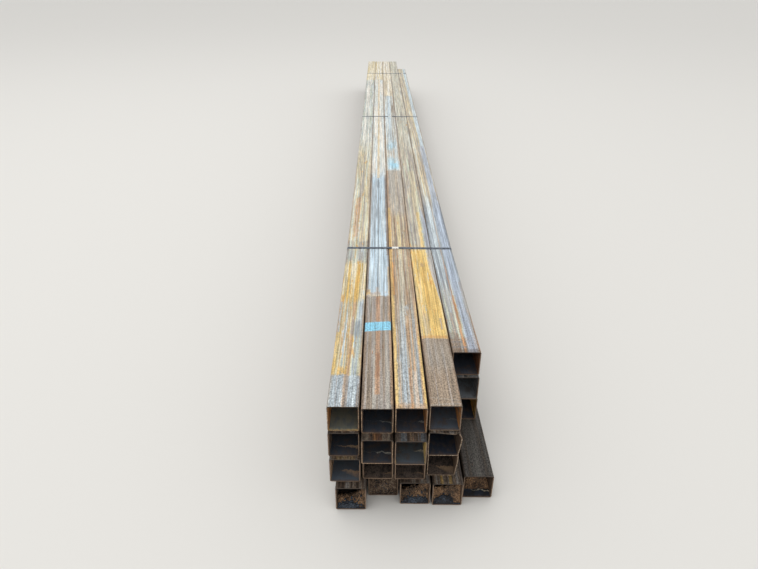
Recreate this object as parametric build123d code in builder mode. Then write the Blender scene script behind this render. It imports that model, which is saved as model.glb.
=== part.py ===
from build123d import *

import os
from dataclasses import dataclass

# Bundle of square steel tubing: five columns of tube, four rows deep, held by three steel straps.
# The tubes lie along Y with their sawn near ends at -Y, and the rows are piled up along Z.
# Rows are counted from the top and columns from the left, as seen from the near end.

# Section of a tube, in millimetres, with the flash that its weld leaves inside the top wall
side = 101.6
wall = 3.2
corner = 6.4
flash_width = 4.0
flash_height = 0.8
flash_slope = 45.0

# Lengths of the stock and the lie of the rows
full_length = 7620.0
short_length = 6610.0
short_tubes = ((1, 5), (2, 5), (3, 5))
short_set_back = 280.0
column_gap = 0.5
row_shift = (0.0, 0.0, 3.0, 22.0)

# How far each near end lies behind the end of the first tube, row by row
set_back = (
    (0.0, -9.0, -6.5, 5.5, short_set_back + 13.0),
    (-8.0, -40.0, -44.0, -3.5, short_set_back - 1.0),
    (-22.0, -9.0, -10.0, 7.0, short_set_back + 4.0),
    (-50.0, 10.0, -26.0, -30.0, 3.0),
)

# The free ends fan out in front of the first strap, by this much sideways in each column
column_fan = (-8.5, -2.0, 3.0, 10.0, 16.0)

# Straps, each one length of steel band that overlaps itself under its seal
first_strap = 1157.0
middle_strap = 4008.0
last_strap = 6506.0
strap_width = 19.0
strap_thickness = 0.8
strap_clearance = 0.2
strap_overlap = 96.0

# Seals, folded round both layers of a strap and notched to lock them
seal_length = 32.0
seal_thickness = 0.9
seal_clearance = 0.15
seal_mouth = 6.0
seal_places = (235.0, 255.0, 455.0)
notch_depth = 3.0
notch_spacing = 13.0

# Two ends are knocked out of square, and this is how far back the bend reaches
knock_length = 90.0
knock_start = 0.2
knock_sag = 5.5
knock_sag_place = 8.0
knock_bulge = 8.0
knock_bulge_height = 74.0
knock_tuck = 7.0

inner_side = side - 2 * wall
inner_corner = corner - wall
half = side / 2
column_pitch = side + column_gap
column_count = len(column_fan)
row_count = len(row_shift)
bundle_width = column_count * side + (column_count - 1) * column_gap
tube_lift = strap_thickness + strap_clearance
strap_stations = (first_strap, middle_strap, last_strap)
free_length = first_strap
bundle_top = tube_lift + row_count * side
lap_height = bundle_top + strap_clearance + seal_thickness + seal_clearance + strap_thickness
seal_width = strap_width + 2 * (seal_clearance + seal_thickness)
seal_height = 2 * (strap_thickness + seal_clearance + seal_thickness)
seal_bevel = seal_thickness / 2
knock_stages = ((knock_length, 0), (knock_length / 2, knock_start), (0, 1))


@dataclass(frozen=True)
class Knock:
    """How far a blow has moved the walls of one tube at its mouth."""

    row: int
    column: int
    sag: float = 0.0
    bulge: float = 0.0
    tuck: float = 0.0


# In one end the top sags and the right wall bulges, and in the other the lower right corner is tucked in
knocks = (Knock(2, 4, sag=knock_sag, bulge=knock_bulge), Knock(3, 4, tuck=knock_tuck))


@dataclass(frozen=True)
class Tube:
    """One length of tube, known by its row from the top and its column from the left."""

    row: int
    column: int

    @property
    def name(self):
        """Name of the piece."""
        return f"tube_row_{self.row}_{'abcdefgh'[self.column - 1]}"

    @property
    def near_end(self):
        """Place of the near end along the bundle, behind the first tube's end."""
        return set_back[self.row - 1][self.column - 1]

    @property
    def far_end(self):
        """Place of the far end along the bundle."""
        is_short = (self.row, self.column) in short_tubes
        return self.near_end + (short_length if is_short else full_length)

    @property
    def middle(self):
        """Place of the centre line across the bundle, at the straps."""
        left = -bundle_width / 2 + row_shift[self.row - 1]
        return left + half + (self.column - 1) * column_pitch

    @property
    def height(self):
        """Height of the centre line above the floor."""
        return tube_lift + side * (row_count - self.row) + half

    def middle_at(self, station):
        """Place of the centre line across the bundle, at a station along it."""
        fanned_share = max(free_length - station, 0) / free_length
        return self.middle + column_fan[self.column - 1] * fanned_share


tubes = [Tube(row + 1, column + 1) for row in range(row_count) for column in range(column_count)]

# The origin lies on the floor, under the middle of the whole bundle
end_middles = [tube.middle_at(tube.near_end) for tube in tubes]
across = -(min(end_middles) + max(end_middles)) / 2
along = -(min(t.near_end for t in tubes) + max(t.far_end for t in tubes)) / 2


def plane_across(x, station, z):
    """Plane across the bundle at a station along it, seen from the near end."""
    return Plane(origin=(x, station + along, z), x_dir=(1, 0, 0), z_dir=(0, -1, 0))


def tube_plane(tube, station):
    """Plane across a tube at a station, with its origin on the centre line."""
    return plane_across(tube.middle_at(station) + across, station, tube.height)


def knocked_section(tube, knock, inset, distance, share):
    """Outline of a knocked end at a distance behind its mouth, bent by a share of the knock."""
    edge = half - inset
    radius = corner - inset
    flat = half - corner
    bulge_point = Vector(edge + knock.bulge * share, knock_bulge_height - half)
    sag_point = Vector(flat - knock_sag_place, edge - knock.sag * share)
    tucked = Vector(-knock.tuck * share, 0)
    foot = Vector(flat, -edge) + tucked
    heel = Vector(edge, -flat) + tucked
    with BuildSketch(tube_plane(tube, tube.near_end + distance)) as section:
        with BuildLine():
            Line((-edge, flat), (-edge, -flat))
            RadiusArc((-edge, -flat), (-flat, -edge), -radius)
            Line((-flat, -edge), foot)
            RadiusArc(foot, heel, -radius)
            Spline(heel, bulge_point, tangents=[bulge_point - heel, (0, 1)])
            Spline(bulge_point, (edge, flat), tangents=[(0, 1), (0, 1)])
            RadiusArc((edge, flat), (flat, edge), -radius)
            Spline((flat, edge), sag_point, tangents=[(-1, 0), (-1, 0)])
            Spline(sag_point, (-flat, edge), tangents=[(-1, 0), (-1, 0)])
            RadiusArc((-flat, edge), (-edge, flat), -radius)
        make_face()
    return section.sketch


def build_tube(tube):
    """Run a tube straight from the first strap to its far end, and fan its free end out."""
    blows = [knock for knock in knocks if (knock.row, knock.column) == (tube.row, tube.column)]
    square_end = tube.near_end + (knock_length if blows else 0)
    at_strap = tube_plane(tube, free_length)
    free_way = tube_plane(tube, square_end).origin - at_strap.origin
    with BuildPart() as stock:
        with BuildSketch(at_strap) as section:
            RectangleRounded(side, side, corner)
            RectangleRounded(inner_side, inner_side, inner_corner, mode=Mode.SUBTRACT)
            with Locations((0, inner_side / 2)):
                Trapezoid(
                    flash_width, flash_height, flash_slope, rotation=180, align=(Align.CENTER, Align.MIN)
                )
        extrude(amount=free_length - tube.far_end)
        extrude(section.sketch, amount=free_way.length, dir=free_way)
        for knock in blows:
            for inset, mode in ((0, Mode.ADD), (wall, Mode.SUBTRACT)):
                ends = [knocked_section(tube, knock, inset, *stage) for stage in knock_stages]
                loft(ends, ruled=True, mode=mode)
    return stock.part


def turns_left(a, b, c):
    """Whether the way from a through b to c turns left."""
    return (b.X - a.X) * (c.Y - a.Y) - (b.Y - a.Y) * (c.X - a.X) > 0


def hull(points):
    """Corners of the tightest loop round some points, anticlockwise."""
    ordered = sorted(points, key=lambda point: (point.X, point.Y))
    loop = []
    for run in (ordered, ordered[::-1]):
        start = len(loop)
        for point in run:
            while len(loop) - start >= 2 and not turns_left(loop[-2], loop[-1], point):
                loop.pop()
            loop.append(point)
        loop.pop()
    return loop


def band_corners(seal_x):
    """Centres of the corners that a tight strap bends round, lifted where its seal lies under it."""
    reach = half - corner
    centres = [
        Vector(tube.middle + across + step_x * reach, tube.height + step_z * reach)
        for tube in tubes
        for step_x in (-1, 1)
        for step_z in (-1, 1)
    ]
    lifted = bundle_top - corner + seal_thickness + seal_clearance
    ends = [Vector(seal_x + step * strap_overlap / 2, lifted) for step in (-1, 1)]
    return hull(centres + ends)


def notches(seal_plane):
    """The two pairs of notches that lock a seal to its strap, as a sketch across them."""
    with BuildSketch(seal_plane) as pairs:
        with GridLocations(notch_spacing, seal_width, 2, 2):
            RegularPolygon(notch_depth, 4)
    return pairs.sketch


def build_strap(station, seal_plane):
    """Band drawn tight round the bundle, with its ends lapped over each other at the seal."""
    inner_radius = corner + strap_clearance
    faces = ((inner_radius + strap_thickness, Mode.ADD), (inner_radius, Mode.SUBTRACT))
    with BuildPart() as band:
        for radius, mode in faces:
            with BuildSketch(plane_across(0, station, 0)):
                with BuildLine():
                    Polyline(*band_corners(seal_plane.origin.X), close=True)
                make_face()
                offset(amount=radius)
            extrude(amount=strap_width / 2, both=True, mode=mode)
        with BuildSketch(seal_plane):
            Rectangle(strap_overlap, strap_width)
        extrude(amount=strap_thickness)
        extrude(notches(seal_plane), amount=seal_height, both=True, mode=Mode.SUBTRACT)
    return band.part


def build_seal(seal_plane):
    """Steel sleeve folded round both layers of a strap, open along the middle of its underside."""
    sleeve = Plane(origin=seal_plane.origin, x_dir=(0, 1, 0), z_dir=(1, 0, 0))
    room = 2 * seal_clearance
    with BuildPart() as seal:
        with BuildSketch(sleeve) as fold:
            Rectangle(seal_width, seal_height)
            chamfer(fold.vertices(), seal_bevel)
            Rectangle(strap_width + room, 2 * strap_thickness + room, mode=Mode.SUBTRACT)
            with Locations((0, -seal_height / 2)):
                Rectangle(seal_mouth, seal_height, mode=Mode.SUBTRACT)
        extrude(amount=seal_length / 2, both=True)
        extrude(notches(seal_plane), amount=seal_height, both=True, mode=Mode.SUBTRACT)
    return seal.part


def save(part, name):
    """Write a piece to its own file."""
    part.label = name
    export_step(part, f"parts/{name}.step")


os.makedirs("parts", exist_ok=True)
for tube in tubes:
    save(build_tube(tube), tube.name)
for number, (station, seal_place) in enumerate(zip(strap_stations, seal_places), start=1):
    seal_centre = (seal_place - bundle_width / 2 + across, station + along, lap_height)
    seal_plane = Plane(origin=seal_centre)
    save(build_strap(station, seal_plane), f"strap_{number}")
    save(build_seal(seal_plane), f"seal_{number}")
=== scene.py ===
import logging
import math
import random
from dataclasses import dataclass, field, replace
from enum import Enum
from typing import Any, Mapping, Sequence

import bmesh
import bpy
from mathutils import Matrix, Vector, noise


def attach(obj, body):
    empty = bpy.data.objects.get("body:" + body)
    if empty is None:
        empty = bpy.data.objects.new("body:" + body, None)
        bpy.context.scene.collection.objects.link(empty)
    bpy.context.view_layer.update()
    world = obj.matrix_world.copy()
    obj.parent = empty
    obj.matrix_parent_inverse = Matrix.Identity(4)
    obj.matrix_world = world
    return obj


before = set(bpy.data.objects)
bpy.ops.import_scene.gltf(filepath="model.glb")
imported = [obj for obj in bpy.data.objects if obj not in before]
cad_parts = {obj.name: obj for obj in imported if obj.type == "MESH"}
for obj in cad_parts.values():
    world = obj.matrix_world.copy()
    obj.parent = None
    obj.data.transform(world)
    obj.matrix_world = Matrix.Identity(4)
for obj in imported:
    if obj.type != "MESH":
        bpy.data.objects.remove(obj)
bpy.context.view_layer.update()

log = logging.getLogger("stack")

Material = bpy.types.Material
Socket = bpy.types.NodeSocket

MM = 0.001
MATH = "ShaderNodeMath"
VECTOR = "ShaderNodeVectorMath"
NOISE = "ShaderNodeTexNoise"
RANGE = "ShaderNodeMapRange"
MIX = "ShaderNodeMix"
RAMP = "ShaderNodeValToRGB"
JOIN = "ShaderNodeCombineXYZ"
SPLIT = "ShaderNodeSeparateXYZ"


class Tint(Enum):
    """Colours of the stock and of the studio's floor, as sRGB hex values."""

    SKY = "c8dce8"
    ICE = "d4dfe2"
    STEEL = "b2bcc2"
    SLATE = "9299a0"
    LILAC = "b0bccd"
    PEARL = "d9dacf"
    SAGE = "ccd1bf"
    GREY = "b5afa4"
    CREAM = "e9dfc4"
    STRAW = "dccb9f"
    AMBER = "ebca7e"
    OCHRE = "dfb769"
    ORANGE = "c98a4c"
    TAN = "c4a482"
    BEIGE = "cebfa7"
    MAUVE = "a79e96"
    DUN = "9c8c7a"
    BROWN = "866f5b"
    RUST = "8c5a36"
    UMBER = "5e4d40"
    SOOT = "2e2b29"
    NAVY = "2f3643"
    INK = "3d444f"
    DIM_BLUE = "57626e"
    OLIVE = "787c72"
    CLAY = "6d6057"
    CYAN = "8fd8f4"
    SOIL = "b08b68"
    LOAM = "68523f"
    GRIT = "2b2e36"
    IVORY = "f0ebdf"
    LEAD = "7e8489"
    WHITE_ZINC = "f4f2ec"
    BLUED = "5c6775"
    PALE_FLOOR = "e9e7e2"


def linear(tint: Tint) -> tuple[float, float, float, float]:
    """Turn a tint's sRGB hex value into linear light.

    Args:
        tint: The colour to turn.

    Returns:
        Red, green, blue and a full alpha, as a colour socket takes them.
    """
    parts = [int(tint.value[i:i + 2], 16) / 255 for i in (0, 2, 4)]
    lit = [c / 12.92 if c <= 0.04045 else ((c + 0.055) / 1.055) ** 2.4 for c in parts]
    return lit[0], lit[1], lit[2], 1.0


def add_node(
    material: Material,
    kind: str,
    inputs: Mapping[Any, Any] | None = None,
    stops: Sequence[tuple[float, Tint]] | None = None,
    **settings: Any,
) -> Socket:
    """Add a node to a material, with its settings, values and links.

    Args:
        material: The material that gets the node.
        kind: Blender's name for the node.
        inputs: A value, a tint or an output socket for each input, by its name or number.
        stops: Places and tints of a colour ramp.
        settings: The node's own settings.

    Returns:
        The node's first output that is in use.
    """
    node = material.node_tree.nodes.new(kind)
    for name, value in settings.items():
        setattr(node, name, value)
    for key, value in (inputs or {}).items():
        if isinstance(value, Socket):
            material.node_tree.links.new(value, node.inputs[key])
        else:
            node.inputs[key].default_value = linear(value) if isinstance(value, Tint) else value
    if stops:
        ramp = node.color_ramp
        while len(ramp.elements) < len(stops):
            ramp.elements.new(1.0)
        for element, (place, tint) in zip(ramp.elements, stops):
            element.position = place
            element.color = linear(tint)
    return next(socket for socket in node.outputs if socket.enabled)


def fresh_material(name: str) -> Material:
    """Make an empty material that uses nodes.

    Args:
        name: The material's name.

    Returns:
        The material, with no nodes in it.
    """
    material = bpy.data.materials.new(name)
    material.use_nodes = True
    material.node_tree.nodes.clear()
    return material


def wear(node: str, material: Material) -> None:
    """Give a CAD node's object a material in each of its slots.

    Args:
        node: The CAD node's name.
        material: The material that it gets.
    """
    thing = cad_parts[node]
    if not thing.material_slots:
        thing.data.materials.append(material)
    for slot in thing.material_slots:
        slot.material = material


def add_mesh(name: str, shape: bmesh.types.BMesh) -> bpy.types.Object:
    """Turn a shape into an object of the scene.

    Args:
        name: The object's name.
        shape: Its mesh, which is freed.

    Returns:
        The object.
    """
    mesh = bpy.data.meshes.new(name)
    shape.to_mesh(mesh)
    shape.free()
    made = bpy.data.objects.new(name, mesh)
    bpy.context.scene.collection.objects.link(made)
    return made


@dataclass(frozen=True)
class Zone:
    """A length of a tube's top face in one state of weathering; in the far zones its tints also hold painted
    sheen.

    The scale's tints run from its dullest strips to its palest ones, and noise lays the strips out. The
    start, softness and raggedness are in millimetres along the tube. Rust and pale are the shares of the
    face under rust and under clean pale scale, and speckle is the strength of its grains. The corner tint
    is partly rust and partly painted shade along the edges.
    """

    start: float
    scale: tuple[Tint, ...]
    corner: Tint = Tint.DUN
    soft: float = 30.0
    ragged: float = 30.0
    rust: float = 0.25
    pale: float = 0.15
    speckle: float = 0.3
    rust_tint: Tint = Tint.OCHRE
    pale_tint: Tint = Tint.ICE

    @property
    def stops(self) -> list[tuple[float, Tint]]:
        """The scale's tints at even places on a ramp."""
        return [((number + 0.5) / len(self.scale), tint) for number, tint in enumerate(self.scale)]


@dataclass(frozen=True)
class Place:
    """Where one tube lies: its row and column, its near end, middle and height, and its free end's fan."""

    row: int
    column: int
    near_end: float
    middle: float
    height: float
    fan: float

    @property
    def label(self) -> str:
        """The tube's row and column, as the names of the pieces give them."""
        return f"row_{self.row}_{'abcde'[self.column - 1]}"

    @property
    def node(self) -> str:
        """Name of the tube's CAD node."""
        return f"tube_{self.label}"


@dataclass(frozen=True)
class Layout:
    """The sizes of the stack that its finishes follow, in millimetres."""

    side: float = 101.6
    wall: float = 3.2
    pitch: float = 102.1
    lift: float = 1.0
    free_length: float = 1157.0
    across: float = -14.69987
    along: float = -3790.0
    width: float = 510.0
    row_shift: tuple[float, ...] = (0.0, 0.0, 3.0, 22.0)
    column_fan: tuple[float, ...] = (-8.5, -2.0, 3.0, 10.0, 16.0)
    set_back: tuple[tuple[float, ...], ...] = (
        (0.0, -9.0, -6.5, 5.5, 293.0),
        (-8.0, -40.0, -44.0, -3.5, 279.0),
        (-22.0, -9.0, -10.0, 7.0, 284.0),
        (-50.0, 10.0, -26.0, -30.0, 3.0),
    )

    def places(self) -> list[Place]:
        """List where each tube lies.

        Returns:
            One place for each tube, row by row from the top.
        """
        found = []
        for row, ends in enumerate(self.set_back, start=1):
            for column, near_end in enumerate(ends, start=1):
                left = -self.width / 2 + self.row_shift[row - 1] + self.across
                middle = left + self.side / 2 + (column - 1) * self.pitch
                height = self.lift + self.side * (len(self.set_back) - row) + self.side / 2
                fan = self.column_fan[column - 1]
                found.append(Place(row, column, near_end, middle, height, fan))
        return found


LAYOUT = Layout()

# Most of a noise's values lie between these two
NOISE_SPAN = (0.32, 0.68)

# How far each pattern darkens and lightens the scale
STREAK_SHADE = (0.76, 1.26)
LINE_SHADE = (-0.14, 0.12)
DASH_SHADE = (-0.1, 0.1)
# Grains darken more than they lighten: painted shade that dims the speckled near zones
GRAIN_SHADE = (-1.1, 0.9)

# The noise's value from which a colour shows, by the share of the face that it takes
SHARE_TO_VALUE = (-0.34, 0.69)

# The sharpest edge that a mark is drawn with, in millimetres
SHARPEST = 3.0

# Brown and grey strips on the sides of the tubes, from the bottom up
SIDE_BANDS = (
    (0.0, Tint.UMBER),
    (0.12, Tint.BROWN),
    (0.35, Tint.DUN),
    (0.6, Tint.MAUVE),
    (0.8, Tint.BROWN),
    (1.0, Tint.DUN),
)


@dataclass(frozen=True)
class Coat:
    """The patterns of one tube's material that its coats share, each an output of a node."""

    material: Material
    station: Socket
    across: Socket
    up: Socket
    facing: bpy.types.Node
    streaks: Socket
    lines: Socket
    dashes: Socket
    patches: Socket
    clearings: Socket
    grains: Socket
    fringe: Socket
    strips: Socket

    def maths(self, operation: str, *values: Any) -> Socket:
        """Work out a number from up to three others."""
        return add_node(self.material, MATH, dict(enumerate(values)), operation=operation)

    def spread(
        self, value: Socket, low: float, high: float, first: float = 0.0, last: float = 1.0
    ) -> Socket:
        """Map a range of a value to another one, smoothly and held at its ends."""
        limits = {"Value": value, "From Min": low, "From Max": high, "To Min": first, "To Max": last}
        return add_node(self.material, RANGE, limits, interpolation_type="SMOOTHSTEP")

    def mix(self, share: Any, under: Any, over: Any) -> Socket:
        """Lay one colour over another one by a share."""
        return add_node(self.material, MIX, {0: share, 6: under, 7: over}, data_type="RGBA")


@dataclass(frozen=True)
class Mark:
    """A patch of another colour on the top face, such as marking paint, in millimetres.

    It reaches from start to stop along the tube and from left to right of its middle. Its ends slant
    by this much over the tube's width, its edges are frayed by the raggedness, and its cover is how much of
    the face it hides.
    """

    tint: Tint
    start: float
    stop: float
    left: float = -60.0
    right: float = 60.0
    slant: float = 0.0
    ragged: float = 8.0
    cover: float = 0.6

    def lay_over(self, coat: Coat, under: Socket) -> Socket:
        """Lay the patch over the top face's colour.

        Args:
            coat: The tube's patterns.
            under: The colour under the patch.

        Returns:
            The colour with the patch on it.
        """
        along = coat.maths("MULTIPLY_ADD", coat.across, -self.slant / LAYOUT.side, coat.station)
        masks = []
        for value, low, high, fray, soft in (
            (along, self.start, self.stop, self.ragged * 4, max(self.ragged * 1.2, SHARPEST)),
            (coat.across, self.left, self.right, self.ragged * 2, max(self.ragged * 0.3, SHARPEST)),
        ):
            frayed = coat.maths("MULTIPLY_ADD", coat.fringe, fray, value)
            away = coat.maths("SUBTRACT", frayed, (low + high) / 2 + fray / 2)
            reach = (high - low) / 2
            masks.append(coat.spread(coat.maths("ABSOLUTE", away), reach + soft, reach - soft))
        both = coat.maths("MULTIPLY", *masks)
        worn = coat.spread(coat.grains, 0.3, 0.5, 0.5, 1.0)
        cover = coat.maths("MULTIPLY", coat.maths("MULTIPLY", both, worn), self.cover)
        return coat.mix(cover, under, self.tint)


@dataclass(frozen=True)
class Bore:
    """The inside of a tube: its floor, its side walls and its lip, with dust and a pale wedge on the floor.

    Dust is the share of the floor under it, and stains cloud the floor by another share. The pale wedge
    widens from its left end to the right wall by its taper. Its sharp far edge is frayed, at a depth behind
    the near end. The lip's tint fades out between two depths, frayed too.
    """

    floor: Tint = Tint.INK
    wall: Tint = Tint.RUST
    lip: Tint = Tint.UMBER
    dust_tint: Tint = Tint.SOOT
    dust: float = 0.3
    stain_tint: Tint = Tint.UMBER
    stain: float = 0.5
    pale_wedge: float = 0.8
    pale_wedge_depth: float = 50.0
    pale_wedge_left: float = 0.0
    pale_wedge_taper: float = 0.4
    pale_wedge_tint: Tint = Tint.PEARL
    pale_wedge_fray: float = 36.0
    lip_depths: tuple[float, float] = (26.0, 14.0)
    lip_fray: float = 30.0

    def paint(self, coat: Coat, place: Place) -> Socket:
        """Colour the bore.

        Args:
            coat: The tube's patterns.
            place: Where the tube lies.

        Returns:
            The bore's colour.
        """
        depth = coat.maths("SUBTRACT", coat.station, place.near_end)
        clear = 0.72 - 0.4 * self.dust
        dusty = coat.spread(coat.grains, clear, clear + 0.12, 0.0, 0.85)
        cloud = coat.spread(coat.fringe, 0.48, 0.62, 0.0, self.stain)
        floor = coat.mix(cloud, self.floor, self.stain_tint)
        floor = coat.mix(dusty, floor, self.dust_tint)
        # A pale wedge on the floor, some way in from the mouth, with a frayed far edge
        ragged = coat.maths("MULTIPLY_ADD", coat.fringe, self.pale_wedge_fray, depth)
        past_edge = coat.maths("SUBTRACT", ragged, self.pale_wedge_depth + self.pale_wedge_fray / 2)
        inward = coat.maths("MAXIMUM", coat.maths("SUBTRACT", coat.across, self.pale_wedge_left), 0.1)
        reach = coat.maths("MULTIPLY", inward, self.pale_wedge_taper)
        fade = coat.spread(coat.maths("DIVIDE", past_edge, reach), -1.0, 0.0, 0.0, self.pale_wedge)
        share = coat.maths("MULTIPLY", fade, coat.spread(past_edge, 1.5, -1.5))
        crumbled = coat.maths("MULTIPLY", share, coat.spread(coat.grains, 0.34, 0.5, 0.4, 1.0))
        floor = coat.mix(crumbled, floor, self.pale_wedge_tint)
        streaked = coat.spread(coat.dashes, 0.44, 0.6, 0.0, 0.8)
        wall = coat.mix(streaked, self.wall, Tint.UMBER)
        sideways = coat.maths("ABSOLUTE", coat.facing.outputs["X"])
        bore = coat.mix(coat.spread(sideways, 0.4, 0.7), floor, wall)
        frayed = coat.maths("MULTIPLY_ADD", coat.fringe, self.lip_fray, depth)
        at_mouth = coat.spread(frayed, *self.lip_depths, 0.0, 0.6)
        return coat.mix(at_mouth, bore, self.lip)


@dataclass(frozen=True)
class TubeFinish:
    """Hot-rolled mill scale on welded square tube, left outdoors.

    The scale is blue-grey and dull, drawn out along the tube by the rolls. Rust shows through it as
    yellow, tan and brown streaks, thickest on the corners and along the weld line. Dark is painted shade,
    the share of light left where the tube lies in shade, and rim is the palest tint of the sawn end.
    """

    zones: tuple[Zone, ...]
    bore: Bore = Bore()
    marks: tuple[Mark, ...] = ()
    seed: int = 1
    dark: float = 1.0
    rim: Tint = Tint.BROWN
    roughness: tuple[float, float] = (0.45, 0.82)
    metallic: float = 0.3

    def lay_out(self, m: Material, place: Place) -> tuple[Coat, Socket]:
        """Lay a tube's patterns out in millimetres, from its own centre line.

        Args:
            m: The tube's material.
            place: Where the tube lies.

        Returns:
            The patterns, and the share of the surface that faces into the bore.
        """
        chance = random.Random(self.seed)
        coordinates = m.node_tree.nodes.new("ShaderNodeTexCoord")
        xyz = add_node(m, SPLIT, {0: coordinates.outputs["Object"]}).node
        facing = add_node(m, SPLIT, {0: coordinates.outputs["Normal"]}).node

        # Millimetres from the first tube's near end, and from the tube's own centre line
        to_mm = 1 / MM
        station = add_node(
            m, MATH, {0: xyz.outputs["Y"], 1: to_mm, 2: -LAYOUT.along}, operation="MULTIPLY_ADD"
        )
        ahead = add_node(m, MATH, {0: LAYOUT.free_length, 1: station}, operation="SUBTRACT")
        free = add_node(m, MATH, {0: ahead, 1: 0.0}, operation="MAXIMUM")
        bend = place.fan / LAYOUT.free_length
        fanned = add_node(m, MATH, {0: free, 1: bend, 2: place.middle}, operation="MULTIPLY_ADD")
        x_mm = add_node(m, MATH, {0: xyz.outputs["X"], 1: to_mm}, operation="MULTIPLY")
        across = add_node(m, MATH, {0: x_mm, 1: fanned}, operation="SUBTRACT")
        up = add_node(m, MATH, {0: xyz.outputs["Z"], 1: to_mm, 2: -place.height}, operation="MULTIPLY_ADD")
        flat = add_node(m, JOIN, {0: across, 2: up})
        local = add_node(m, JOIN, {0: across, 1: station, 2: up})

        def pattern(size: float, draw: float, detail: float, rough: float = 0.6) -> Socket:
            """Make a noise that is drawn out along the tube.

            Args:
                size: Its size across, in millimetres.
                draw: How many times as long as wide it is.
                detail: How many finer layers it has.
                rough: How strong the finer layers are.

            Returns:
                The noise's value.
            """
            shift = tuple(chance.uniform(-900.0, 900.0) for _ in range(3))
            scaled = (1.0, 1 / draw, 1.0)
            vector = add_node(m, VECTOR, {0: local, 1: scaled, 2: shift}, operation="MULTIPLY_ADD")
            look = {"Vector": vector, "Scale": 1 / size, "Detail": detail, "Roughness": rough}
            return add_node(m, NOISE, look)

        # Streaks of the rolls are tenths of a millimetre wide and grains of scale under one. Finer than
        # about 4 mm nothing shows in the render, so both are drawn that coarse
        coat = Coat(
            material=m,
            station=station,
            across=across,
            up=up,
            facing=facing,
            streaks=pattern(4.5, 50.0, 3.0),
            lines=pattern(9.0, 60.0, 2.0),
            dashes=pattern(7.0, 9.0, 3.0),
            patches=pattern(15.0, 9.0, 5.0, 0.68),
            clearings=pattern(13.0, 12.0, 4.0, 0.65),
            grains=pattern(4.5, 1.8, 3.0, 0.7),
            fringe=pattern(20.0, 1.6, 4.0),
            strips=pattern(13.0, 90.0, 3.0),
        )
        outward = add_node(m, VECTOR, {0: coordinates.outputs["Normal"], 1: flat}, operation="DOT_PRODUCT")
        return coat, coat.maths("LESS_THAN", outward, 0.0)

    def paint_top(self, coat: Coat) -> tuple[Socket, bpy.types.Node]:
        """Colour the top face, zone by zone along the tube.

        Args:
            coat: The tube's patterns.

        Returns:
            The top's colour, and the node whose outputs are the zone's numbers.
        """
        m = coat.material
        strip = coat.spread(coat.strips, 0.34, 0.66)
        layers: list[Any] = []
        for zone in self.zones:
            fresh = [
                add_node(m, RAMP, {0: strip}, stops=zone.stops),
                zone.corner,
                zone.rust_tint,
                zone.pale_tint,
                (zone.rust, zone.pale, zone.speckle, 1.0),
            ]
            if not layers:
                layers = fresh
                continue
            jag = coat.maths("MULTIPLY_ADD", coat.fringe, 4 * zone.ragged, -2 * zone.ragged)
            edge = coat.maths("ADD", coat.station, jag)
            past = coat.spread(edge, zone.start - zone.soft, zone.start + zone.soft)
            layers = [coat.mix(past, old, new) for old, new in zip(layers, fresh)]
        scale, corner_tint, rust_tint, pale_tint, numbers_mix = layers
        numbers = add_node(m, "ShaderNodeSeparateColor", {0: numbers_mix}).node

        # The corners lose their scale first, by a ragged width. Their tint is partly rust and partly painted
        # shade where the edges turn away from the light
        outwards = coat.maths("MULTIPLY_ADD", coat.fringe, 16.0, coat.maths("ABSOLUTE", coat.across))
        top = coat.mix(coat.spread(outwards, 46.0, 58.0, 0.0, 0.7), scale, corner_tint)

        # Clean pale scale, then rust over it, each over its share of the face
        rust = coat.mix(coat.spread(coat.dashes, 0.42, 0.66, 0.0, 0.8), rust_tint, Tint.ORANGE)
        for cloud, colour, share in (
            (coat.clearings, pale_tint, numbers.outputs[1]),
            (coat.patches, rust, numbers.outputs[0]),
        ):
            limit = coat.maths("MULTIPLY_ADD", share, *SHARE_TO_VALUE)
            rise = coat.maths("SUBTRACT", cloud, limit)
            top = coat.mix(coat.spread(rise, 0.0, 0.06, 0.0, 0.8), top, colour)
        return top, numbers

    def build(self, place: Place) -> Material:
        """Make the material of one tube.

        Args:
            place: Where the tube lies.

        Returns:
            The finished material.
        """
        m = fresh_material(f"weathered_mill_scale_{place.label}")
        coat, is_inside = self.lay_out(m, place)
        top, numbers = self.paint_top(coat)
        for mark in self.marks:
            top = mark.lay_over(coat, top)

        # Sides and underside: dull strips of brown and grey
        height_share = coat.maths("MULTIPLY_ADD", coat.up, 1 / LAYOUT.side, 0.45)
        side_strip = coat.maths("MULTIPLY_ADD", coat.streaks, 0.1, height_share)
        side = add_node(m, RAMP, {0: side_strip}, stops=SIDE_BANDS)
        side = coat.mix(coat.spread(coat.patches, 0.52, 0.6, 0.0, 0.7), side, Tint.RUST)
        upward = coat.spread(coat.facing.outputs["Z"], 0.35, 0.8)
        outside = coat.mix(upward, side, top)

        # Streaks, dashes and grains darken and lighten the scale
        streak = coat.spread(coat.streaks, *NOISE_SPAN, *STREAK_SHADE)
        line = coat.spread(coat.lines, *NOISE_SPAN, *LINE_SHADE)
        dash = coat.spread(coat.dashes, *NOISE_SPAN, *DASH_SHADE)
        shade = coat.maths("ADD", coat.maths("ADD", streak, line), dash)
        grain = coat.spread(coat.grains, 0.35, 0.65, *GRAIN_SHADE)
        depth = coat.maths("SUBTRACT", coat.station, place.near_end)
        fleck = coat.maths("MULTIPLY", grain, numbers.outputs[2])
        fleck = coat.maths("MULTIPLY", fleck, coat.spread(depth, 80.0, 300.0, 1.5, 1.0))
        flecked = coat.maths("MULTIPLY_ADD", fleck, 0.5, shade)
        # Painted shade: dark scales the outside down where the tube lies in shade
        toned = coat.maths("MULTIPLY", flecked, self.dark)
        outside = add_node(m, VECTOR, {0: outside, 3: toned}, operation="SCALE")

        colour = coat.mix(is_inside, outside, self.bore.paint(coat, place))
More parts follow.
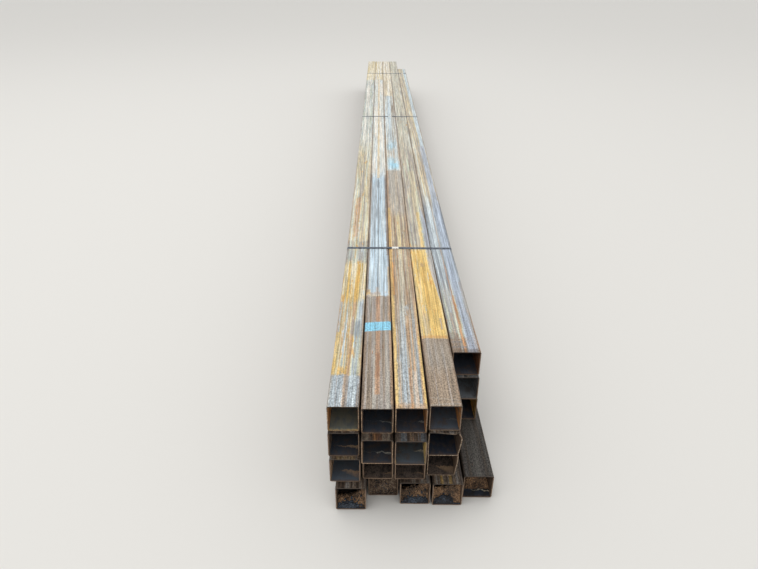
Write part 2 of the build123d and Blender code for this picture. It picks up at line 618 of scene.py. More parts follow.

        # Sawn ends, browned by fresh rust, with painted shade darkening their top edge
        stops = [(0.34, Tint.UMBER), (0.5, Tint.BROWN), (0.66, self.rim)]
        sawn = add_node(m, RAMP, {0: coat.grains}, stops=stops)
        # Painted shade: the top edge of each sawn end turns to soot
        sawn = coat.mix(coat.spread(coat.up, 40.0, 48.0, 0.0, 0.8), sawn, Tint.SOOT)
        is_end = coat.maths("GREATER_THAN", coat.maths("ABSOLUTE", coat.facing.outputs["Y"]), 0.7)
        colour = coat.mix(is_end, colour, sawn)

        roughness = coat.spread(coat.patches, 0.38, 0.62, *self.roughness)
        scale_left = coat.spread(coat.patches, 0.42, 0.6, self.metallic, 0.0)
        metal = coat.maths("MULTIPLY", scale_left, coat.maths("SUBTRACT", 1.0, is_inside))
        relief = coat.maths("MULTIPLY_ADD", coat.grains, 0.5, coat.streaks)
        bump = add_node(m, "ShaderNodeBump", {"Strength": 0.4, "Distance": 0.3 * MM, "Height": relief})
        look = {"Base Color": colour, "Roughness": roughness, "Metallic": metal, "Normal": bump}
        add_output(m, add_node(m, "ShaderNodeBsdfPrincipled", look))
        return m


def add_output(material: Material, shader: Socket) -> None:
    """Send a shader to the material's surface.

    Args:
        material: The material.
        shader: The shader's output.
    """
    end = material.node_tree.nodes.new("ShaderNodeOutputMaterial")
    material.node_tree.links.new(shader, end.inputs["Surface"])


# States of the top tubes, from the near end on. Their far zones are paler partly in the scale's own tone and
# partly by painted sheen, as the top faces catch more light towards the far end
A_ZONES = (
    Zone(-60.0, (Tint.MAUVE, Tint.STEEL, Tint.STEEL, Tint.ICE), rust=0.1, pale=0.25, speckle=0.45),
    Zone(161.0, (Tint.TAN, Tint.STRAW, Tint.SAGE, Tint.STEEL), Tint.TAN, 6.0, 14.0, rust=0.4, pale=0.25),
    Zone(650.0, (Tint.OCHRE, Tint.AMBER, Tint.STRAW, Tint.CREAM), Tint.STRAW, rust=0.4),
    Zone(1000.0, (Tint.MAUVE, Tint.GREY, Tint.BEIGE, Tint.SAGE), Tint.MAUVE, pale=0.3),
    Zone(1240.0, (Tint.GREY, Tint.BEIGE, Tint.STRAW, Tint.SAGE, Tint.PEARL), Tint.BEIGE, 12.0),
    Zone(3000.0, (Tint.SAGE, Tint.STEEL, Tint.PEARL, Tint.PEARL, Tint.IVORY), Tint.GREY, 400.0, rust=0.15,
         pale=0.3),
    Zone(6000.0, (Tint.STRAW, Tint.CREAM, Tint.CREAM, Tint.IVORY), Tint.STRAW, 60.0, rust=0.1),
)

B_ZONES = (
    Zone(-60.0, (Tint.DUN, Tint.MAUVE, Tint.MAUVE, Tint.GREY), Tint.BROWN, rust=0.15, speckle=0.45,
         rust_tint=Tint.RUST, pale_tint=Tint.GREY),
    Zone(692.0, (Tint.STEEL, Tint.SKY, Tint.SKY, Tint.ICE), Tint.BROWN, 6.0, 12.0, rust=0.05,
         pale_tint=Tint.SKY),
    Zone(2300.0, (Tint.PEARL, Tint.ICE, Tint.IVORY, Tint.IVORY), Tint.DUN, 120.0, rust=0.1),
    Zone(6020.0, (Tint.STRAW, Tint.CREAM, Tint.IVORY, Tint.IVORY), Tint.BEIGE, 60.0, rust=0.1),
)

C_ZONES = (
    Zone(-60.0, (Tint.TAN, Tint.GREY, Tint.GREY, Tint.STEEL), Tint.TAN, rust=0.2, pale=0.3, speckle=0.45,
         pale_tint=Tint.STEEL),
    Zone(600.0, (Tint.DUN, Tint.TAN, Tint.GREY, Tint.STRAW), Tint.TAN, 180.0, rust_tint=Tint.TAN),
    Zone(1600.0, (Tint.MAUVE, Tint.BEIGE, Tint.GREY, Tint.GREY), Tint.DUN, 80.0, rust=0.15,
         rust_tint=Tint.TAN),
    Zone(2400.0, (Tint.GREY, Tint.PEARL, Tint.ICE, Tint.ICE), Tint.TAN, rust=0.1),
    Zone(4990.0, (Tint.BEIGE, Tint.CREAM, Tint.IVORY), Tint.BEIGE, 20.0, rust=0.15),
)

D_ZONES = (
    Zone(-60.0, (Tint.DUN, Tint.DUN, Tint.DUN, Tint.MAUVE), Tint.BROWN, rust=0.05, speckle=0.55,
         rust_tint=Tint.BROWN, pale_tint=Tint.GREY),
    Zone(379.0, (Tint.OCHRE, Tint.AMBER, Tint.AMBER, Tint.STRAW), Tint.STRAW, 4.0, 5.0, rust=0.4),
    Zone(1157.0, (Tint.MAUVE, Tint.GREY, Tint.BEIGE, Tint.SAGE), Tint.DUN, 60.0, rust=0.15),
    Zone(3000.0, (Tint.GREY, Tint.SAGE, Tint.BEIGE, Tint.PEARL), Tint.MAUVE, 300.0, rust=0.15),
)

# E's lead-grey corner tint is painted shade on its edges, which turn away from the light
E_ZONES = (
    Zone(200.0, (Tint.DUN, Tint.MAUVE, Tint.TAN, Tint.GREY), Tint.BROWN, rust=0.2, speckle=0.4,
         rust_tint=Tint.TAN),
    Zone(392.0, (Tint.GREY, Tint.STEEL, Tint.GREY, Tint.SAGE), Tint.LEAD, 12.0, rust=0.3, rust_tint=Tint.TAN),
    Zone(760.0, (Tint.SLATE, Tint.STEEL, Tint.STEEL, Tint.ICE), Tint.LEAD, 120.0, rust=0.15),
    Zone(1800.0, (Tint.GREY, Tint.BEIGE, Tint.STRAW, Tint.PEARL), Tint.MAUVE, 200.0, rust=0.2),
)

# The top row, from left to right
TOP_FINISHES = (
    TubeFinish(
        A_ZONES,
        Bore(
            floor=Tint.OLIVE, wall=Tint.ORANGE, lip=Tint.OCHRE, dust=0.1, stain_tint=Tint.DIM_BLUE, pale_wedge=0.0
        ),
        (
            Mark(Tint.TAN, -20.0, 161.0, -7.0, 4.0, ragged=6.0),
            Mark(Tint.AMBER, 161.0, 420.0, -52.0, -36.0, ragged=7.0, cover=0.75),
            Mark(Tint.ORANGE, 1290.0, 1860.0, -26.0, -2.0, ragged=18.0, cover=0.5),
            Mark(Tint.MAUVE, 3000.0, 5900.0, -6.0, -1.0, ragged=3.0, cover=0.5),
            Mark(Tint.OCHRE, 161.0, 205.0, -30.0, -6.0, cover=0.8),
            Mark(Tint.SLATE, 395.0, 500.0, 5.0, 40.0, ragged=12.0),
            Mark(Tint.STEEL, 1040.0, 1130.0, -46.0, 46.0, ragged=14.0, cover=0.4),
            Mark(Tint.OCHRE, 1040.0, 1290.0, -12.0, -4.0, ragged=5.0),
        ),
        seed=1,
        rim=Tint.TAN,
    ),
    TubeFinish(
        B_ZONES,
        Bore(wall=Tint.BROWN, pale_wedge=0.6, pale_wedge_depth=52.0, pale_wedge_left=-4.0, pale_wedge_taper=0.16),
        (
            Mark(Tint.ORANGE, 60.0, 692.0, -9.0, 8.0, ragged=5.0, cover=0.5),
            Mark(Tint.RUST, 150.0, 285.0, -7.0, 7.0, ragged=7.0, cover=0.45),
            Mark(Tint.PEARL, 560.0, 692.0, -33.0, -27.0, ragged=4.0, cover=0.5),
            Mark(Tint.TAN, 690.0, 720.0, -46.0, 10.0),
            Mark(Tint.OCHRE, 700.0, 742.0, -50.0, -33.0, ragged=9.0, cover=0.7),
            Mark(Tint.TAN, 712.0, 766.0, -11.0, 4.0, ragged=9.0, cover=0.55),
            Mark(Tint.CREAM, 688.0, 700.0, -40.0, 12.0, ragged=7.0),
            Mark(Tint.OCHRE, 692.0, 960.0, 41.0, 49.0, ragged=5.0, cover=0.5),
            Mark(Tint.LEAD, 770.0, 2240.0, -3.0, 2.0, ragged=3.0, cover=0.85),
            Mark(Tint.LEAD, 2040.0, 2190.0, -8.0, 6.0, ragged=6.0, cover=0.55),
            Mark(Tint.OCHRE, 2230.0, 6020.0, -9.0, 7.0, ragged=6.0, cover=0.5),
            Mark(Tint.TAN, 10.0, 692.0, 41.0, 52.0, ragged=5.0),
            Mark(Tint.CYAN, 428.0, 490.0, slant=10.0, ragged=2.5, cover=0.92),
            Mark(Tint.BROWN, 1080.0, 2300.0, 38.0, 52.0, ragged=6.0, cover=0.7),
            Mark(Tint.BROWN, 720.0, 2300.0, -52.0, -41.0, ragged=6.0, cover=0.7),
        ),
        seed=2,
        rim=Tint.TAN,
    ),
    TubeFinish(
        C_ZONES,
        Bore(wall=Tint.ORANGE, pale_wedge=0.5, pale_wedge_left=20.0),
        (
            Mark(Tint.AMBER, -20.0, 700.0, -52.0, -38.0, ragged=6.0, cover=0.75),
            Mark(Tint.OCHRE, 700.0, 1700.0, -52.0, -36.0, cover=0.65),
            Mark(Tint.ORANGE, 700.0, 1010.0, -40.0, -33.0, ragged=5.0),
            Mark(Tint.ORANGE, 1700.0, 2380.0, -52.0, -38.0, cover=0.3),
            Mark(Tint.AMBER, -20.0, 390.0, 42.0, 52.0, cover=0.85),
            Mark(Tint.AMBER, 390.0, 640.0, 44.0, 52.0, ragged=6.0, cover=0.4),
            Mark(Tint.TAN, -20.0, 16.0, cover=0.7),
            Mark(Tint.PEARL, 480.0, 1140.0, -9.0, 7.0, ragged=9.0, cover=0.35),
            Mark(Tint.ICE, 10.0, 380.0, -20.0, -10.0, cover=0.3),
            Mark(Tint.ICE, 0.0, 180.0, 12.0, 26.0, cover=0.3),
            Mark(Tint.ORANGE, -20.0, 200.0, 0.0, 6.0, ragged=3.0),
            Mark(Tint.CYAN, 2430.0, 2560.0, -24.0, 34.0, ragged=40.0, cover=0.55),
            Mark(Tint.CYAN, 2500.0, 2700.0, -36.0, 12.0, ragged=60.0, cover=0.4),
            Mark(Tint.TAN, 2650.0, 2910.0, -34.0, 20.0, ragged=60.0, cover=0.25),
            Mark(Tint.CYAN, 2890.0, 3060.0, -34.0, 4.0, ragged=60.0, cover=0.35),
            Mark(Tint.CYAN, 2960.0, 3150.0, -14.0, 24.0, ragged=60.0, cover=0.3),
            Mark(Tint.SKY, 3000.0, 4990.0, -18.0, 8.0, ragged=12.0, cover=0.45),
            Mark(Tint.DUN, 4180.0, 4500.0, 18.0, 44.0, ragged=14.0, cover=0.7),
        ),
        seed=3,
        rim=Tint.TAN,
    ),
    TubeFinish(
        D_ZONES,
        Bore(floor=Tint.DIM_BLUE, wall=Tint.ORANGE, dust=0.15, pale_wedge=0.15),
        (
            Mark(Tint.ORANGE, 380.0, 398.0, ragged=3.0, cover=0.5),
            Mark(Tint.GREY, 190.0, 379.0, -42.0, 48.0, ragged=30.0, cover=0.26),
            Mark(Tint.TAN, -20.0, 200.0, ragged=30.0, cover=0.1),
            Mark(Tint.MAUVE, 402.0, 560.0, -32.0, -12.0, ragged=12.0, cover=0.4),
            Mark(Tint.GREY, 12.0, 17.0, slant=8.0, ragged=2.0),
            Mark(Tint.GREY, 38.0, 42.0, slant=-14.0, ragged=2.0, cover=0.4),
            Mark(Tint.AMBER, 405.0, 560.0, 26.0, 40.0, ragged=7.0, cover=0.8),
            Mark(Tint.MAUVE, 440.0, 520.0, 30.0, 36.0, ragged=3.0, cover=0.9),
            Mark(Tint.AMBER, 1157.0, 1640.0, 6.0, 22.0, ragged=9.0, cover=0.7),
            Mark(Tint.STRAW, 1640.0, 2380.0, -6.0, 30.0, ragged=22.0, cover=0.4),
            Mark(Tint.LILAC, 1295.0, 2150.0, 27.0, 51.0, slant=-1385.0, cover=0.7),
            Mark(Tint.DUN, 960.0, 1000.0, -14.0, 2.0, ragged=9.0, cover=0.5),
        ),
        seed=4,
        rim=Tint.DUN,
    ),
    TubeFinish(
        E_ZONES,
        Bore(pale_wedge=0.0),
        (
            Mark(Tint.LILAC, 286.0, 3000.0, 7.0, 42.0, cover=0.8),
            Mark(Tint.MAUVE, 286.0, 820.0, 36.0, 52.0, ragged=6.0),
            Mark(Tint.SKY, 3000.0, 7000.0, 12.0, 42.0, cover=0.75),
            Mark(Tint.ORANGE, 286.0, 700.0, -8.0, 2.0, ragged=5.0, cover=0.75),
            Mark(Tint.ORANGE, 700.0, 980.0, -7.0, -1.0, ragged=5.0),
            Mark(Tint.TAN, 980.0, 2600.0, -7.0, -2.0, ragged=4.0),
            Mark(Tint.TAN, 400.0, 560.0, -30.0, -22.0, ragged=6.0, cover=0.5),
            Mark(Tint.ORANGE, 290.0, 560.0, 46.0, 52.0, ragged=5.0),
            Mark(Tint.SLATE, 318.0, 330.0, -50.0, 8.0, slant=-4.0, ragged=3.0, cover=0.5),
            Mark(Tint.SLATE, 352.0, 364.0, -50.0, -10.0, ragged=3.0, cover=0.5),
            Mark(Tint.UMBER, 286.0, 314.0, ragged=6.0, cover=0.55),
            Mark(Tint.BROWN, 286.0, 420.0, -52.0, -20.0, ragged=9.0, cover=0.45),
        ),
        seed=5,
    ),
)


# Painted shade on the lower rows, which lie in the shade of the rows above, with 1.0 for none
UNDER_ROW_SHADE = 0.4
SOILED = (Tint.UMBER, Tint.BROWN, Tint.DUN, Tint.MAUVE)
SLATY = (Tint.SLATE, Tint.GREY)


def under_finish(bore: Bore, scale: tuple[Tint, ...] = SOILED, **settings: Any) -> TubeFinish:
    """Finish a tube of the lower rows, in the tints of soil and old rust and darkened by painted shade.

    Args:
        bore: The look of its inside.
        scale: The tints of its scale, from the dullest to the palest.
        settings: The finish's other fields.

    Returns:
        The tube's finish.
    """
    grimy = Zone(-60.0, scale, Tint.UMBER, pale=0.1, speckle=0.6, rust_tint=Tint.BROWN, pale_tint=Tint.MAUVE)
    return TubeFinish((grimy,), bore, dark=UNDER_ROW_SHADE, **settings)


DIRTY_BORE = Bore(
    Tint.CLAY, Tint.BROWN, dust=0.6, stain_tint=Tint.SOOT, stain=0.8, pale_wedge=0.7, pale_wedge_depth=24.0,
    pale_wedge_left=12.0, pale_wedge_tint=Tint.TAN
)
BLOCKED_BORE = replace(DIRTY_BORE, floor=Tint.SOOT, wall=Tint.UMBER, pale_wedge=0.0)
BARE_BORE = replace(
    BLOCKED_BORE, floor=Tint.NAVY, dust=0.3, pale_wedge=1.0, pale_wedge_depth=31.0, pale_wedge_left=-24.0,
    pale_wedge_taper=0.14, pale_wedge_tint=Tint.CREAM
)
SOILED_BORE = replace(DIRTY_BORE, pale_wedge=0.8, pale_wedge_depth=40.0, pale_wedge_left=-20.0, pale_wedge_taper=0.9)

# The lower rows, each by its row and column. Those that aren't here have a dirty bore
UNDER_FINISHES = {
    (2, 1): under_finish(
        Bore(wall=Tint.BROWN, pale_wedge_depth=44.0, pale_wedge_left=-34.0, pale_wedge_taper=0.22, pale_wedge_tint=Tint.TAN),
    ),
    (2, 2): under_finish(
        Bore(wall=Tint.TAN, pale_wedge=0.9, pale_wedge_depth=48.0, pale_wedge_left=-10.0, pale_wedge_taper=0.24),
        (Tint.UMBER, Tint.BROWN, Tint.DUN),
        marks=(
            Mark(Tint.ORANGE, -60.0, 10.0, -14.0, -2.0, ragged=4.0),
            Mark(Tint.RUST, -60.0, 10.0, -2.0, 14.0, ragged=4.0),
        ),
        rim=Tint.TAN,
    ),
    (2, 3): under_finish(
        Bore(
            floor=Tint.DIM_BLUE, wall=Tint.AMBER, dust=0.15, pale_wedge=0.7, pale_wedge_depth=60.0, pale_wedge_left=10.0
        ),
        (Tint.UMBER, Tint.BROWN, Tint.LEAD),
        marks=(Mark(Tint.TAN, -60.0, 10.0, -3.0, 2.0, ragged=2.0, cover=0.7),),
    ),
    # D2's pale beige rim is a painted highlight where its bulged end catches the light
    (2, 4): under_finish(Bore(floor=Tint.NAVY, wall=Tint.UMBER, pale_wedge=0.0), rim=Tint.BEIGE),
    (2, 5): under_finish(
        Bore(floor=Tint.LEAD, wall=Tint.SLATE, dust=0.15, pale_wedge=0.0),
        SLATY,
        marks=(Mark(Tint.SOOT, 283.0, 292.0, -6.0, 6.0, ragged=1.0, cover=0.9),),
    ),
    (3, 1): under_finish(
        Bore(
            floor=Tint.DIM_BLUE, wall=Tint.TAN, dust=0.0, stain=0.2, pale_wedge_depth=46.0, pale_wedge_left=-20.0,
            pale_wedge_taper=0.6, pale_wedge_tint=Tint.TAN
        ),
        marks=(Mark(Tint.OCHRE, -60.0, 10.0, -30.0, 34.0, ragged=3.0, cover=0.3),),
    ),
    # D3's pale beige rim is a painted highlight where its bulged end catches the light
    (3, 4): under_finish(SOILED_BORE, rim=Tint.BEIGE),
    (3, 5): under_finish(Bore(floor=Tint.NAVY, wall=Tint.OCHRE, pale_wedge=0.0), SLATY),
    (4, 1): under_finish(BLOCKED_BORE),
    (4, 3): under_finish(BLOCKED_BORE),
    (4, 4): under_finish(
        BLOCKED_BORE,
        marks=(
            Mark(Tint.OCHRE, -60.0, 30.0, -26.0, -16.0, ragged=4.0, cover=0.7),
            Mark(Tint.OCHRE, -60.0, 30.0, 4.0, 14.0, ragged=4.0, cover=0.7),
        ),
    ),
    (4, 5): TubeFinish(
        (
            Zone(-60.0, (Tint.DUN, Tint.MAUVE, Tint.GREY), rust=0.05, pale=0.1, speckle=0.9,
                 rust_tint=Tint.BROWN, pale_tint=Tint.SLATE),
        ),
        BARE_BORE,
        # Painted shade: the bottom right tube lies deepest in shade, under its neighbours
        dark=0.16,
    ),
}


@dataclass
class TubeStock:
    """The twenty tubes of the stack, each in its own weathered finish."""

    places: list[Place] = field(default_factory=LAYOUT.places)

    def dress(self) -> None:
        """Give each tube its material."""
        plain = under_finish(DIRTY_BORE)
        for number, place in enumerate(self.places, start=1):
            if place.row == 1:
                finish = TOP_FINISHES[place.column - 1]
            else:
                finish = replace(UNDER_FINISHES.get((place.row, place.column), plain), seed=number)
            wear(place.node, finish.build(place))
            log.info("%s dressed", place.node)


@dataclass(frozen=True)
class CoatedSteel:
    """Thin cold-rolled steel under a coating, which shows as a cloudy grain of this size in millimetres."""

    name: str
    tints: tuple[tuple[float, Tint], ...]
    grain: float
    metallic: float
    roughness: tuple[float, float]

    def build(self) -> Material:
        """Make the coated steel's material.

        Returns:
            The finished material.
        """
        m = fresh_material(self.name)
        spot = m.node_tree.nodes.new("ShaderNodeTexCoord").outputs["Object"]
        fine = {"Vector": spot, "Scale": 1 / (self.grain * MM), "Detail": 4.0, "Roughness": 0.6}
        clouds = add_node(m, NOISE, fine)
        smooth, rough = self.roughness
        relief = {"Strength": 0.2, "Distance": 0.1 * MM, "Height": clouds}
        look = {
            "Base Color": add_node(m, RAMP, {0: clouds}, stops=self.tints),
            "Metallic": self.metallic,
            "Roughness": add_node(m, RANGE, {"Value": clouds, "To Min": smooth, "To Max": rough}),
            "Normal": add_node(m, "ShaderNodeBump", relief),
        }
        add_output(m, add_node(m, "ShaderNodeBsdfPrincipled", look))
        return m


# Blued steel strapping: a thin dark oxide over cold-rolled steel, smooth, with a soft sheen. The oxide's
# grain is too fine to show, so its clouds are drawn 9 mm wide
BLUED_STRAP = CoatedSteel(
    "blued_steel_strap",
    ((0.3, Tint.SOOT), (0.5, Tint.BLUED), (0.7, Tint.SLATE)),
    grain=9.0,
    metallic=0.6,
    roughness=(0.3, 0.6),
)

# Zinc-plated pressed steel: pale and bright. The zinc's grain is too fine to show, so it is drawn 4 mm
# wide
ZINC_SEAL = CoatedSteel(
    "zinc_plated_seal",
    ((0.3, Tint.PEARL), (0.5, Tint.WHITE_ZINC)),
    grain=4.0,
    metallic=0.1,
    roughness=(0.25, 0.5),
)


@dataclass
class Strapping:
    """The three straps and the seals that lock them."""

    count: int = 3

    def dress(self) -> None:
        """Give each strap and seal its material."""
        blued, zinc = BLUED_STRAP.build(), ZINC_SEAL.build()
        for number in range(1, self.count + 1):
            wear(f"strap_{number}", blued)
            wear(f"seal_{number}", zinc)
            log.info("strap_%d and seal_%d dressed", number, number)


@dataclass(frozen=True)
class LooseEarth:
    """Dry earth or dark scale grit: rough and crumbly, with no shine."""

    name: str
    light: Tint
    middle: Tint
    dark: Tint

    def build(self) -> Material:
        """Make the earth's material.

        Returns:
            The finished material.
        """
        m = fresh_material(self.name)
        spot = m.node_tree.nodes.new("ShaderNodeTexCoord").outputs["Object"]
        # Crumbs of a millimetre or less are too fine to show, so they are drawn 4 mm wide
        crumbs = add_node(m, NOISE, {"Vector": spot, "Scale": 1 / (4 * MM), "Detail": 3.0, "Roughness": 0.75})
        drifts = add_node(m, NOISE, {"Vector": spot, "Scale": 1 / (50 * MM), "Detail": 1.0})
        tone = add_node(m, MATH, {0: drifts, 1: 0.5, 2: crumbs}, operation="MULTIPLY_ADD")
        stops = [(0.62, self.dark), (0.74, self.middle), (0.9, self.light)]
        colour = add_node(m, RAMP, {0: tone}, stops=stops)
        bump = add_node(m, "ShaderNodeBump", {"Strength": 0.8, "Distance": 1.5 * MM, "Height": crumbs})
        look = {"Base Color": colour, "Roughness": 0.95, "Normal": bump}
        add_output(m, add_node(m, "ShaderNodeBsdfPrincipled", look))
        return m


@dataclass
class Heap:
    """A rough bed of loose stuff in the mouth of a bottom tube, with clods strewn on it, in millimetres.

    The bed is highest at its peak, which is a side from -1 at the left wall to 1 at the right, and it is
    this high at the peak and one side away from it. Its lean raises the right side. A heap may lie on
    another one, and tucks itself under that one's surface where it has run out. The clods lie round the
    peak, up to their reach behind the heap's front.
    """

    place: Place
    kind: str
    earth: Material
    start: float = 7.0
    length: float = 66.0
    crest: float = 0.45
    peak: float = 0.0
    middle: float = 40.0
    sides: float = 50.0
    lean: float = 0.0
    clods: int = 40
    clod_size: float = 4.5
    clod_reach: float = 60.0
    clod_spread: float = 0.45
    clearance: float = 0.6
    under: "Heap | None" = None
    segments: tuple[int, int] = (30, 60)
    tuck: float = 1.5
    rough_height: float = 14.0

    @property
    def name(self) -> str:
        """Name of the heap's piece."""
        return f"{self.kind}_{self.place.label}"

    @property
    def half(self) -> float:
        """Half the room across the tube."""
        return LAYOUT.side / 2 - LAYOUT.wall - self.clearance

    def to_stack(self, x: float, depth: float, z: float) -> Vector:
        """Turn a point in the tube's mouth into one of the whole stack, in metres.

        Args:
            x: Distance from the tube's middle.
            depth: Distance behind the tube's near end.
            z: Height above the tube's inner floor.

        Returns:
            The point.
        """
        station = self.place.near_end + depth
        ahead = max(LAYOUT.free_length - station, 0)
        middle = self.place.middle + self.place.fan * ahead / LAYOUT.free_length
        floor = self.place.height - LAYOUT.side / 2 + LAYOUT.wall
        return Vector((middle + x, station + LAYOUT.along, floor + z)) * MM

    def level(self, side: float, depth: float) -> float:
        """Give the height of the bed's rough surface above the tube's floor.

        Args:
            side: Share of the way to the wall, negative on the left.
            depth: Distance behind the tube's near end.

        Returns:
            The height, with a heap that has run out hidden just under the one that it lies on.
        """
        share = (depth - self.start) / self.length
        slope = max(min(share / self.crest, (1 - share) / (1 - self.crest)), 0.0)
        across = self.sides + (self.middle - self.sides) * (1 - (side - self.peak) ** 2)
        rise = max(across * (1 + self.lean * side) * slope * slope * (3 - 2 * slope), 0.0)
        spot = Vector((side * self.half, depth, 50.0 * self.place.column))
        rough = noise.noise(spot * 0.05) * 0.6 + noise.noise(spot * 0.2) * 0.4
        bed = self.under.level(side, depth) - self.tuck if self.under else 0.0
        height = bed + rise + min(rise, self.rough_height) * rough
        return min(max(height, 2 * self.clearance), 2 * self.half - self.clearance)

    def build(self) -> bpy.types.Object:
        """Shape the bed and the clods on it.

        Returns:
            The heap's object.
        """
        chance = random.Random(self.name)
        shape = bmesh.new()
        bmesh.ops.create_grid(shape, x_segments=self.segments[0], y_segments=self.segments[1], size=1.0)
        for point in shape.verts:
            side, depth = point.co.x, self.start + (point.co.y + 1) / 2 * self.length
            point.co = self.to_stack(side * self.half, depth, self.level(side, depth))
        grown = bmesh.ops.extrude_face_region(shape, geom=list(shape.faces))
        floor = self.to_stack(0.0, 0.0, self.clearance).z
        for part in grown["geom"]:
            if isinstance(part, bmesh.types.BMVert):
                part.co.z = floor
        bmesh.ops.recalc_face_normals(shape, faces=shape.faces)
        for _ in range(self.clods):
            self.add_clod(shape, chance)
        return add_mesh(self.name, shape)

    def add_clod(self, shape: bmesh.types.BMesh, chance: random.Random) -> None:
        """Drop one clod on the side of the bed that faces the mouth.

        Args:
            shape: The heap's mesh so far.
            chance: Where its size and place come from.
        """
        radius = self.clod_size * chance.uniform(0.35, 1.0)
        clear = 1.4 * radius
        side = max(-1.0, min(1.0, chance.gauss(self.peak, self.clod_spread))) * (1 - clear / self.half)
        depth = self.start + clear + abs(chance.gauss(0.0, self.clod_reach / 2))
        bed = max(heap.level(side, depth) for heap in (self, self.under or self))
        z = bed + radius * chance.uniform(0.1, 0.6)
        centre = self.to_stack(side * self.half, depth, min(max(z, clear), 2 * self.half - clear))
        spin = Matrix.Rotation(chance.uniform(0, math.tau), 3, "X") @ Matrix.Rotation(chance.random(), 3, "Y")
        made = bmesh.ops.create_icosphere(shape, subdivisions=1, radius=radius * MM)
        for point in made["verts"]:
            dent = 1 + 0.45 * noise.noise(point.co / MM * 0.4 + Vector((depth, side * 9, radius)))
            point.co = spin @ (point.co * dent) + centre

    def dress(self, heap: bpy.types.Object) -> None:
        """Give the heap its material and set it on its body.

        Args:
            heap: The heap's object.
        """
        heap.data.materials.append(self.earth)
        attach(heap, "root")


@dataclass
class MouthSoil:
    """Earth and grit that have drifted into the mouths of the bottom row."""

    places: list[Place]

    def heaps(self) -> list[Heap]:
        """List the beds of earth, then the grit that lies against each.

        Returns:
            A bed for each bottom tube, from left to right, then a pile for each but the last.
        """
        a, b, c, d, e = self.places
        red = LooseEarth("dry_red_earth", Tint.SOIL, Tint.LOAM, Tint.SOOT).build()
        grey = LooseEarth("dry_grey_earth", Tint.DUN, Tint.LOAM, Tint.SOOT).build()
        grit = LooseEarth("mill_scale_grit", Tint.DIM_BLUE, Tint.GRIT, Tint.SOOT).build()
        beds = [
            Heap(a, "earth", red, middle=24.0, sides=48.0, lean=0.45),
            Heap(b, "earth", grey, 2.0, 130.0, middle=78.0, sides=80.0, lean=0.1),
            Heap(c, "earth", red, middle=40.0, sides=48.0, lean=0.5),
            Heap(d, "earth", red, middle=48.0, sides=50.0, lean=0.25),
            Heap(e, "earth", red, 34.0, 80.0, peak=0.2, middle=40.0, sides=5.0),
        ]
        pile = Heap(a, "grit", grit, 1.0, 20.0, 0.5, -0.1, 8.0, -5.0, clods=90, clod_size=5.5, clearance=0.45)
        piles = [
            replace(pile, clod_reach=15.0),
            replace(pile, middle=0.0, clods=110, clod_size=2.6, clod_reach=100.0),
            replace(pile, length=18.0, peak=0.15, middle=11.0, clods=70, clod_reach=13.0),
            replace(pile, peak=-0.2, middle=19.0, sides=-16.0, clods=80, clod_reach=12.0, clod_spread=0.28),
        ]
        return beds + [replace(heap, place=bed.place, under=bed) for heap, bed in zip(piles, beds)]

    def build(self) -> None:
        """Build and dress each heap."""
        for heap in self.heaps():
            heap.dress(heap.build())
            log.info("%s built", heap.name)


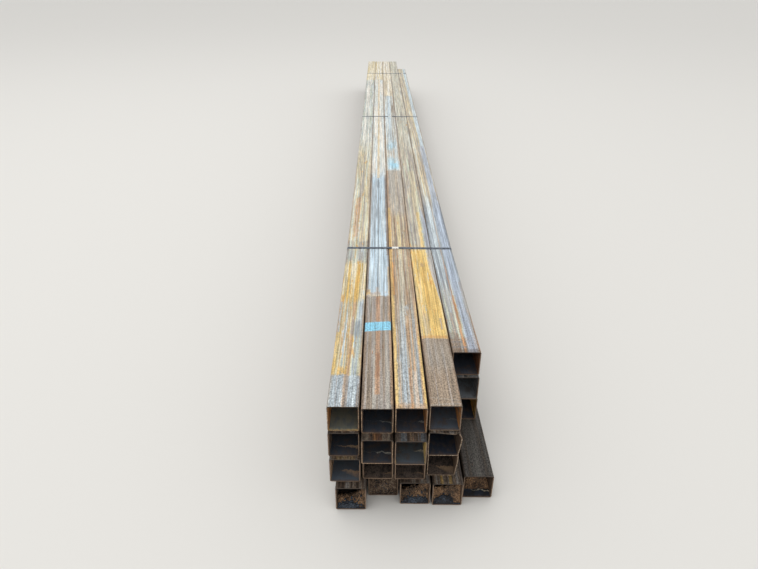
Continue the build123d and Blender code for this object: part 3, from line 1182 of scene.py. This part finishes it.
@dataclass
class SoftStudio:
    """A plain pale floor, an even pale sky, one soft lamp and the camera."""

    floor_size: float = 120.0
    # How far the floor lies under the tubes, in millimetres
    floor_drop: float = 0.2
    sky: float = 0.8
    lamp_size: float = 9.0
    lamp_power: float = 350.0
    lamp_place: tuple[float, float, float] = (-3.0, -2.0, 12.0)
    # The camera as fitted to the photograph: place in metres, then pitch, roll and turn in degrees
    camera_place: tuple[float, float, float] = (-0.1213, -5.1631, 1.6013)
    pitch: float = 61.094
    roll: float = 0.4404
    turn: float = -0.19027
    lens: float = 27.112
    sensor: float = 36.0
    far_clip: float = 200.0

    def build_floor(self) -> None:
        """Lay the floor under the stack."""
        shape = bmesh.new()
        bmesh.ops.create_grid(shape, x_segments=1, y_segments=1, size=self.floor_size / 2)
        floor = add_mesh("floor", shape)
        floor.location.z = -self.floor_drop * MM
        # Matt painted board: pale and even, so that it only catches the stack's shadow
        m = fresh_material("pale_studio_floor")
        look = {"Base Color": Tint.PALE_FLOOR, "Roughness": 0.9}
        add_output(m, add_node(m, "ShaderNodeBsdfPrincipled", look))
        floor.data.materials.append(m)

    def build_light(self) -> None:
        """Light the stack with an even sky and one broad lamp overhead."""
        world = bpy.data.worlds.new("even_sky")
        world.use_nodes = True
        world.node_tree.nodes["Background"].inputs["Color"].default_value = (1.0, 1.0, 1.0, 1.0)
        world.node_tree.nodes["Background"].inputs["Strength"].default_value = self.sky
        bpy.context.scene.world = world
        lamp = bpy.data.lights.new("soft_lamp", "AREA")
        lamp.shape = "DISK"
        lamp.size = self.lamp_size
        lamp.energy = self.lamp_power
        holder = bpy.data.objects.new("soft_lamp", lamp)
        holder.location = self.lamp_place
        holder.rotation_euler = (-Vector(self.lamp_place)).to_track_quat("-Z", "Y").to_euler()
        bpy.context.scene.collection.objects.link(holder)

    def build_camera(self) -> None:
        """Set the camera where the photograph was taken from."""
        data = bpy.data.cameras.new("camera")
        data.sensor_fit = "HORIZONTAL"
        data.sensor_width = self.sensor
        data.lens = self.lens
        data.clip_end = self.far_clip
        camera = bpy.data.objects.new("camera", data)
        turned = (
            Matrix.Rotation(math.radians(self.turn), 4, "Z")
            @ Matrix.Rotation(math.radians(self.pitch), 4, "X")
            @ Matrix.Rotation(math.radians(self.roll), 4, "Z")
        )
        camera.matrix_world = Matrix.Translation(self.camera_place) @ turned
        bpy.context.scene.collection.objects.link(camera)
        bpy.context.scene.camera = camera

    def build(self) -> None:
        """Set up the floor, the light, the camera and the plain view transform."""
        self.build_floor()
        self.build_light()
        self.build_camera()
        bpy.context.scene.view_settings.view_transform = "Standard"


def main() -> None:
    """Set up the studio, then dress the tubes, the strapping and the soil in the mouths."""
    logging.basicConfig(level=logging.INFO, format="%(message)s")
    SoftStudio().build()
    stock = TubeStock()
    stock.dress()
    Strapping().dress()
    MouthSoil([place for place in stock.places if place.row == 4]).build()


if __name__ == "__main__":
    main()
